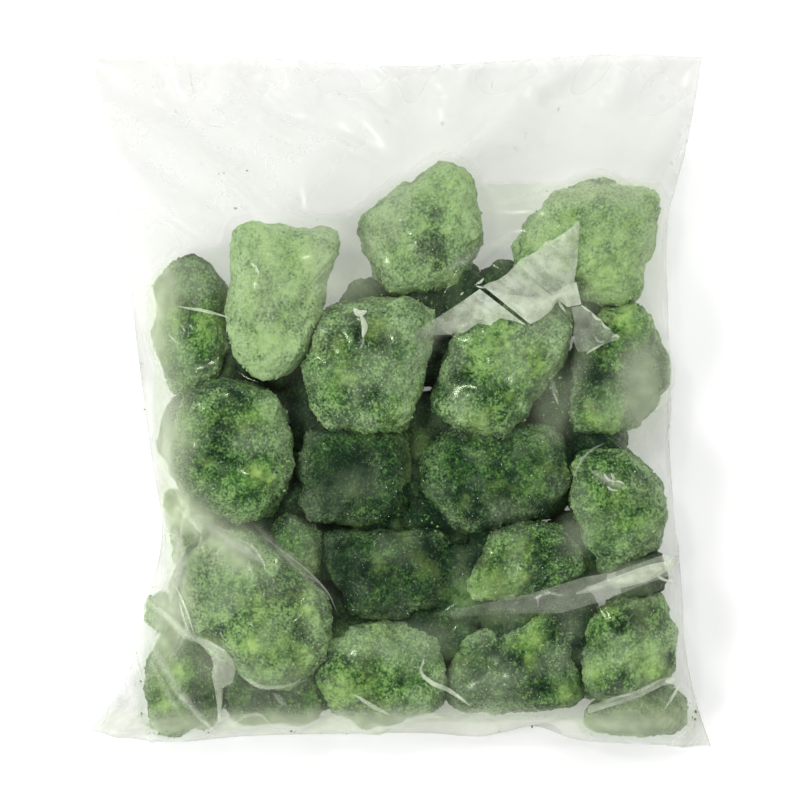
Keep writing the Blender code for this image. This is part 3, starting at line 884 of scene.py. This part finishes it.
def resampled(grid, shape):
    def along_first(field, count):
        t = np.linspace(0, field.shape[0] - 1, count)
        i = np.minimum(t.astype(int), field.shape[0] - 2)
        f = (t - i).reshape((-1,) + (1,) * (field.ndim - 1))
        return field[i] * (1 - f) + field[i + 1] * f
    return along_first(along_first(grid, shape[0]).swapaxes(0, 1), shape[1]).swapaxes(0, 1)


def taut(grid, relief):
    """The film drawn tight over the relief between its edges, in the plan of the grid."""
    lowest = relief.at(grid)[..., 0] + FILM_GAP
    z = np.maximum(grid[..., 2], lowest)
    for _ in range(TAUT_ROUNDS):
        mean = (z[:-2, 1:-1] + z[2:, 1:-1] + z[1:-1, :-2] + z[1:-1, 2:]) / 4
        z[1:-1, 1:-1] = np.maximum(mean, lowest[1:-1, 1:-1])
    drawn = grid.copy()
    drawn[1:-1, 1:-1, 2] = z[1:-1, 1:-1]
    return drawn


def line_lengths(drawn):
    """Lengths of the grid's lines across and along, evened out between neighbours."""
    def even(lengths):
        for _ in range(EVENING_ROUNDS):
            lengths = lengths.copy()
            lengths[1:-1] = (lengths[:-2] + 2 * lengths[1:-1] + lengths[2:]) / 4
        return lengths
    across = np.linalg.norm(np.diff(drawn, axis=0), axis=-1).sum(0)
    along = np.linalg.norm(np.diff(drawn, axis=1), axis=-1).sum(1)
    return even(across), even(along)


def fold_share(grid, fold):
    """How much of a fold each point has, and the direction across the fold."""
    x0, y0, x1, y1, width = (value * MM for value in fold[:5])
    dx, dy = x1 - x0, y1 - y0
    size = math.hypot(dx, dy)
    along = ((grid[..., 0] - x0) * dx + (grid[..., 1] - y0) * dy) / size**2
    aside = ((grid[..., 1] - y0) * dx - (grid[..., 0] - x0) * dy) / size
    ends = np.clip(np.minimum(along, 1 - along) * size / (3 * width) + 0.5, 0, 1)
    return np.exp(-(aside / width)**2) * ends, abs(dy / size), abs(dx / size)


def neighbour_pairs(shape):
    """Slices of all neighbouring points: across, along and on both diagonals."""
    rows, columns = shape
    every = slice(None)
    pairs = []

    def twos(start, count):
        number = len(range(start, count - 1, 2))
        return slice(start, start + 2 * number, 2), slice(start + 1, start + 1 + 2 * number, 2)

    for start in (0, 1):
        first, second = twos(start, rows)
        pairs.append(((first, every), (second, every), "across"))
        pairs.append(((first, slice(0, columns - 1)), (second, slice(1, columns)), "diagonal"))
        pairs.append(((first, slice(1, columns)), (second, slice(0, columns - 1)), "diagonal"))
    for start in (0, 1):
        first, second = twos(start, columns)
        pairs.append(((every, first), (every, second), "along"))
    return pairs


def hold_length(points, free, first, second, rest, stretch, squeeze):
    """Move each pair of points back towards its rest length."""
    a, b = points[first], points[second]
    gap = b - a
    length = np.sqrt(np.einsum("ijk,ijk->ij", gap, gap))
    over = length - rest[first]
    stiffness = np.where(over > 0, stretch, squeeze)
    weight = np.maximum(free[first] + free[second], 1)[..., 0]
    shift = gap * (over / np.maximum(length, 1e-9) * stiffness / weight)[..., None]
    a += shift * free[first]
    b -= shift * free[second]


def stiffen(points, free, amount):
    """Bending stiffness: each point and its neighbours move towards a straight line."""
    for turned in (False, True):
        p = points.swapaxes(0, 1) if turned else points
        f = free.swapaxes(0, 1) if turned else free
        bend = (p[:-2] + p[2:]) / 2 - p[1:-1]
        p[1:-1] += amount * bend * f[1:-1]
        p[:-2] -= amount / 2 * bend * f[:-2]
        p[2:] -= amount / 2 * bend * f[2:]


def keep_outside(points, relief, free):
    """Push points out of the relief along its slope. Returns which points touch it."""
    here = relief.at(points)
    depth = here[..., 0] + FILM_GAP - points[..., 2]
    out = np.stack([-here[..., 1], -here[..., 2], np.ones_like(depth)], axis=-1)
    push = np.maximum(depth, 0) / (out**2).sum(-1) * free[..., 0]
    points += out * push[..., None]
    return (depth > -0.3 * MM)[..., None]


def rest_lengths(grid, lines, shape, folds, slack):
    """Length of the film between neighbours, with slack and the film that each fold takes up."""
    across = np.interp(np.linspace(0, 1, shape[1]), np.linspace(0, 1, len(lines[0])), lines[0])
    along = np.interp(np.linspace(0, 1, shape[0]), np.linspace(0, 1, len(lines[1])), lines[1])
    head = np.clip((grid[..., 1] - HEAD_FROM) / (HEAD_TO - HEAD_FROM), 0, 1)
    extra = 1 + np.array(slack[0]) * (1 - head[..., None]) + np.array(slack[1]) * head[..., None]
    across = across[None, :] / (shape[0] - 1) * extra[..., 0]
    along = along[:, None] / (shape[1] - 1) * extra[..., 1]
    diagonal = np.hypot(across, along)
    for fold in folds:
        share, in_x, in_y = fold_share(grid, fold)
        across = across * (1 + fold[5] * share * in_x)
        along = along * (1 + fold[5] * share * in_y)
        diagonal = diagonal * (1 + fold[5] * share * 0.7)
    return {"across": across, "along": along, "diagonal": diagonal}


def draped(levels, relief, folds, slack, seed, floor=None, edges=1.0):
    """The film as a grid of points: a sheet that can't stretch, let down on the relief.

    edges is -1 where the film is worked out upside down. floor is the highest it may then be.
    """
    def plan(cells_across, cells_along):
        grid = plan_grid(cells_across, cells_along)
        grid[..., 2] *= edges
        return grid

    draw = np.random.default_rng(seed)
    lines = line_lengths(taut(plan(60, 66), relief))
    points = None
    for cells_across, cells_along, steps, fall, rough in levels:
        grid = plan(cells_across, cells_along)
        shape = grid.shape[:2]
        inner = np.zeros(shape + (1,))
        inner[1:-1, 1:-1] = 1
        if points is None:
            points = taut(grid, relief)
            for fold in folds:
                points[..., 2] += fold_share(grid, fold)[0] * fold[4] * 0.8 * MM * inner[..., 0]
        else:
            points = np.where(inner > 0, resampled(points, shape), grid)
        rests = rest_lengths(grid, lines, shape, folds, slack)
        points += draw.normal(size=points.shape) * rough * inner
        before = points.copy()
        pairs = neighbour_pairs(shape)
        for _ in range(steps):
            moving = (points - before) * DAMPING
            before = points.copy()
            points += moving * inner
            points[..., 2] -= fall * inner[..., 0]
            for first, second, kind in pairs:
                stretch, squeeze = (0.5, 0.1) if kind == "diagonal" else (1.0, 0.7)
                hold_length(points, inner, first, second, rests[kind], stretch, squeeze)
            stiffen(points, inner, BENDING)
            touching = keep_outside(points, relief, inner)
            points[..., :2] -= (points - before)[..., :2] * touching * FRICTION
            if floor is not None:
                points[..., 2] = np.minimum(points[..., 2], floor)
    return points


def closed_skin(front, back):
    """Points and faces of a skin whose front and back grids share their edge."""
    rows, columns = front.shape[:2]
    number = np.arange(rows * columns).reshape(rows, columns)
    inside = np.zeros((rows, columns), bool)
    inside[1:-1, 1:-1] = True
    behind = number.copy()
    behind[inside] = rows * columns + np.arange(inside.sum())

    def quads(n):
        return np.stack([n[:-1, :-1], n[1:, :-1], n[1:, 1:], n[:-1, 1:]], axis=-1).reshape(-1, 4)

    points = np.concatenate([front.reshape(-1, 3), back[inside]])
    faces = np.concatenate([quads(number), quads(behind)[:, ::-1]])
    return points, faces, inside


def skin_piece(name, points, faces, milk_and_painted_light, leafy, material):
    mesh = bpy.data.meshes.new(name)
    mesh.vertices.add(len(points))
    mesh.vertices.foreach_set("co", points.ravel())
    mesh.loops.add(faces.size)
    mesh.loops.foreach_set("vertex_index", faces.ravel())
    mesh.polygons.add(len(faces))
    mesh.polygons.foreach_set("loop_start", np.arange(len(faces)) * 4)
    mesh.update(calc_edges=True)
    mesh.shade_smooth()
    mesh.set_sharp_from_angle(angle=math.radians(60))
    mesh.attributes.new("milk_and_painted_light", "FLOAT", "POINT").data.foreach_set("value", milk_and_painted_light)
    mesh.attributes.new("leafy", "FLOAT", "POINT").data.foreach_set("value", leafy)
    mesh.materials.append(material)
    piece = bpy.data.objects.new(name, mesh)
    bpy.context.scene.collection.objects.link(piece)
    return piece


# Colour of the milky film where green leaf shines through it
LEAFY_MILK = (0.62, 0.71, 0.49, 1)


def film_material(name, colour, roughness, crinkled, mottled=False):
    material, tree, shader = new_material(name, Roughness=roughness)
    place = object_place(tree)
    # The film's milkiness, with the painted glints of the creases and one veil of painted shade
    milk_and_painted_light = attribute(tree, "milk_and_painted_light")
    cloud = noise(tree, place, 9 * MM, 4.0, 0.4)
    leafy = attribute(tree, "leafy")
    veil = (milk_and_painted_light * (1 + (0.2 + 1.2 * leafy) * (cloud - 0.5))).clamped()
    mirror = add_node(tree, "ShaderNodeFresnel", {}, {"IOR": 1.5}).math("MINIMUM", 0.10)
    if mottled:
        mottle = noise(tree, place, 5 * MM, 4.0, 3.8).between(0.30, 0.66)
        veil = veil * (0.55 + 0.65 * mottle)
        mirror = mirror * (milk_and_painted_light * 12).clamped() + 0.0005
    cover = 1 - (1 - mirror) * (1 - veil)
    crinkle = noise(tree, place, 4 * MM, 3.0, 2.4)
    bump = add_node(tree, "ShaderNodeBump", {}, {"Strength": crinkled, "Distance": 0.4 * MM,
                                                 "Height": crinkle})
    milk = mix_colour(tree, leafy, colour + (1,), LEAFY_MILK)
    feed(tree, shader, Base_Color=milk, Alpha=cover, Metallic=mirror / cover, Normal=bump,
         Roughness=roughness + 0.3 * veil)
    return material


def veil_share(points, veil):
    """How much of a veil each point has: even in its middle, fading out at its edge."""
    cx, cy, length, width, turn, strength = veil
    dx, dy = points[..., 0] / MM - cx, points[..., 1] / MM - cy
    c, s = math.cos(math.radians(turn)), math.sin(math.radians(turn))
    away = ((dx * c + dy * s) / length)**2 + ((dy * c - dx * s) / width)**2
    return VEIL_GAIN * strength * np.exp(-away**1.5)


def fan_share(points, fan, seed):
    """Streaks that fan out from a corner and fade with the distance from it."""
    cx, cy, reach, strength = fan
    dx, dy = points[..., 0] / MM - cx, points[..., 1] / MM - cy
    turn = np.arctan2(dy, dx)
    draw = np.random.default_rng(seed)
    height = draw.random(90)**2
    streak = np.interp(turn, np.linspace(-0.3, math.pi + 0.3, 90), height)
    return strength * streak * np.clip(1.3 - np.hypot(dx, dy) / reach, 0, 1)


def film_haze(points, relief):
    """How milky the film looks, and how much of it lies over leaf.

    It is clear over the heap, and hazy where it hangs over the floor.
    """
    under = relief.at(points)[..., 0]
    milk_and_painted_light = 0.001 + BARE_HAZE * np.clip(1 - under / BARE_BELOW, 0, 1)
    for veil in VEILS:
        milk_and_painted_light = milk_and_painted_light + veil_share(points, veil)
    for number, fan in enumerate(FANS):
        milk_and_painted_light = milk_and_painted_light + fan_share(points, fan, number)
    # Painted green light of the leaf along the bottom seal
    hem = np.clip((HEM_FROM - points[..., 1]) / HEM_WIDTH, 0, 0.6)
    return milk_and_painted_light, np.clip(under / (14 * MM) - 0.3 + hem, 0, 1)


def top_wrinkles():
    """The wrinkles below the top seal, as folds."""
    return [(x, 137, x + lean, 137 - length, 2.2, 0.35) for x, length, lean in TOP_WRINKLES]


def make_film(top, under, whole):
    """The film piece, and the front film's height map."""
    folds = FOLDS + top_wrinkles()
    front = draped(FRONT_LEVELS, top, folds, (HEAP_SLACK, HEAD_SLACK), 3)
    back = draped(BACK_LEVELS, under, [], (HEAD_SLACK, HEAD_SLACK), 5,
                  floor=BACK_FLOOR, edges=-1.0)
    back[..., 2] *= -1
    points, faces, inside = closed_skin(front, back)
    milk_and_painted_light, leafy = film_haze(front, whole)
    milk_and_painted_light = np.concatenate([milk_and_painted_light.ravel(), np.full(inside.sum(), BACK_HAZE)])
    leafy = np.concatenate([leafy.ravel(), np.zeros(inside.sum())])
    material = film_material("clear_film", (0.75, 0.76, 0.71), 0.16, 0.10)
    return skin_piece("film", points, faces, milk_and_painted_light, leafy, material), film_height(front)


def film_height(front):
    fine = resampled(front, (front.shape[0] * 2, front.shape[1] * 2)).reshape(-1, 3)
    i = ((fine[:, 0] - MAP_CORNER[0]) / MAP_STEP + 0.5).astype(int)
    j = ((fine[:, 1] - MAP_CORNER[1]) / MAP_STEP + 0.5).astype(int)
    height = np.zeros(MAP_SIZE)
    np.maximum.at(height, (i, j), fine[:, 2])
    return Relief(eased(height, 1))


# Folds of doubled film

def polyline(points):
    """Evenly spaced points on straight lines through the given pixels."""
    knots = in_metres(points)
    along = np.concatenate([[0], np.cumsum(np.linalg.norm(np.diff(knots, axis=0), axis=1))])
    share = np.linspace(0, along[-1], FLAP_POINTS)
    return np.column_stack([np.interp(share, along, knots[:, axis]) for axis in (0, 1)])


def flap_skin(first, second, rise, milk, film_top, soft=False):
    """A fold that lies on the film between two edges: points, faces and how milky each point is."""
    across = np.linspace(0, 1, FLAP_ACROSS)[:, None]
    plan = first[None] * (1 - across[..., None]) + second[None] * across[..., None]
    lowest = film_top.at(plan)[..., 0] + FLAP_ABOVE
    height = lowest[:1] * (1 - across) + lowest[-1:] * across
    arch = np.sin(np.pi * across) * np.sin(np.linspace(0, np.pi, plan.shape[1]))[None]
    height = np.maximum(height + rise * MM * arch, lowest)
    front = np.dstack([plan, height + FLAP_HALF_THICKNESS])
    back = np.dstack([plan, height - FLAP_HALF_THICKNESS])
    points, faces, inside = closed_skin(front, back)
    ahead, aside = first[-1] - first[0], (second - first).mean(axis=0)
    if ahead[0] * aside[1] > ahead[1] * aside[0]:
        faces = faces[:, ::-1]
    milky = np.linspace(*milk, plan.shape[1]) * np.ones_like(across)
    if soft:
        along = np.linspace(0, np.pi, plan.shape[1])
        milky = milky * np.sin(np.pi * across)**2 * np.sin(along)**0.5
    return points, faces, np.concatenate([milky.ravel(), milky[inside]]) / 2


def crease_edges(points, half_width):
    """Two edges on either side of a line, which meet at its ends."""
    line = smooth_curve(in_metres(points), np.linspace(0, 1, CREASE_POINTS))
    ahead = np.gradient(line, axis=0)
    side = np.column_stack([-ahead[:, 1], ahead[:, 0]]) / np.linalg.norm(ahead, axis=1)[:, None]
    half = half_width * MM * np.sin(np.linspace(0.05, np.pi - 0.05, CREASE_POINTS))**0.7
    return line + side * half[:, None], line - side * half[:, None]


def make_film_folds(film_top):
    """All the folds of doubled film as one mesh, with painted glints on its creases."""
    skins = []
    for first, second, rise, start, end in FLAPS:
        edges = polyline(first), polyline(second)
        skins.append(flap_skin(*edges, rise, (start, end), film_top))
    # Creases: low ridges with painted glints
    for points, half_width, milk in GLINT_CREASES:
        first, second = crease_edges(points, half_width)
        skins.append(flap_skin(first, second, half_width * 0.5, (milk, milk), film_top))
    for points, half_width, milk in STREAKS:
        first, second = crease_edges(points, half_width)
        skins.append(flap_skin(first, second, 0, (milk, milk), film_top, soft=True))
    starts = np.cumsum([0] + [len(skin[0]) for skin in skins[:-1]])
    points = np.concatenate([skin[0] for skin in skins])
    faces = np.concatenate([skin[1] + start for skin, start in zip(skins, starts)])
    milk_and_painted_light = np.concatenate([skin[2] for skin in skins])
    material = film_material("folded_film_and_glints", (0.86, 0.93, 0.75), 0.25, 0.7, mottled=True)
    return skin_piece("film_folds", points, faces, milk_and_painted_light, np.zeros(len(points)), material)


# Floor, light and camera

# How bright the studio's walls and what is overhead are, and how much the floor glows
WALLS = 0.45
OVERHEAD = 0.04
FLOOR_GLOW = 0.25
FLOOR_HALF = 3.0


def make_floor():
    mesh = bpy.data.meshes.new("floor")
    half = FLOOR_HALF
    mesh.from_pydata([(-half, -half, 0), (half, -half, 0), (half, half, 0), (-half, half, 0)],
                     [], [(0, 1, 2, 3)])
    floor = bpy.data.objects.new("floor", mesh)
    bpy.context.scene.collection.objects.link(floor)
    material, _, shader = new_material("floor", Base_Color=(0.92, 0.92, 0.92, 1), Roughness=0.9)
    shader.inputs["Emission Color"].default_value = (1, 1, 1, 1)
    shader.inputs["Emission Strength"].default_value = FLOOR_GLOW
    mesh.materials.append(material)


def soft_light(name, place, size, power, glints=False):
    """An area light that faces the middle of the bag. Only a small one makes glints."""
    lamp = bpy.data.lights.new(name, "AREA")
    lamp.shape = "RECTANGLE"
    lamp.size, lamp.size_y = size
    lamp.energy = power
    light = bpy.data.objects.new(name, lamp)
    light.location = place
    light.rotation_euler = (-light.location).to_track_quat("-Z", "Y").to_euler()
    light.visible_glossy = glints
    bpy.context.scene.collection.objects.link(light)


def make_lights():
    soft_light("key", (-0.9, -0.45, 0.9), (0.7, 0.7), 13.8)
    soft_light("fill", (0.9, 0.6, 1.1), (0.8, 0.8), 8)
    soft_light("top", (0.1, 1.0, 1.1), (1.2, 0.3), 6.5)
    soft_light("glint", (-0.35, 0.45, 1.2), (0.12, 0.12), 2, glints=True)
    world = bpy.data.worlds.new("studio")
    world.use_nodes = True
    tree = world.node_tree
    up = add_node(tree, "ShaderNodeTexCoord", {}, {}, "Generated").part(2)
    strength = WALLS + (OVERHEAD - WALLS) * up.between(0.35, 0.95)
    tree.links.new(strength.link, tree.nodes["Background"].inputs["Strength"])
    tree.nodes["Background"].inputs["Color"].default_value = (1, 1, 1, 1)
    bpy.context.scene.world = world


def make_camera():
    data = bpy.data.cameras.new("camera")
    data.sensor_width = SENSOR
    data.lens = SENSOR * CAMERA_HEIGHT / VIEW_WIDTH
    camera = bpy.data.objects.new("camera", data)
    camera.location = (0, 0, CAMERA_HEIGHT)
    bpy.context.scene.collection.objects.link(camera)
    bpy.context.scene.camera = camera


scene = bpy.context.scene
scene.view_settings.view_transform = "Standard"
scene.cycles.transparent_max_bounces = 12
scene.cycles.max_bounces = 6
scene.cycles.diffuse_bounces = 3
scene.cycles.glossy_bounces = 2

spinach = spinach_material()
portions = make_portions(spinach)
heap_top, heap_under, heap_whole = heap_reliefs(portions)
film, film_top = make_film(heap_top, heap_under, heap_whole)
film_folds = make_film_folds(film_top)
ice_grains = make_ice_grains(portions, heap_top)
leaf_crumbs = make_leaf_crumbs(film_top)
finishes = [(piece, "frozen_spinach") for piece in portions]
finishes += [(film, "clear_film"), (film_folds, "clear_film")]
finishes += [(ice_grains, "frost"), (leaf_crumbs, "frozen_spinach")]
for piece, finish in finishes:
    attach(piece, "root")
    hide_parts("spinach_bag")

make_floor()
make_lights()
make_camera()


def plain(box):
    return [[float(value) for value in corner] for corner in box]
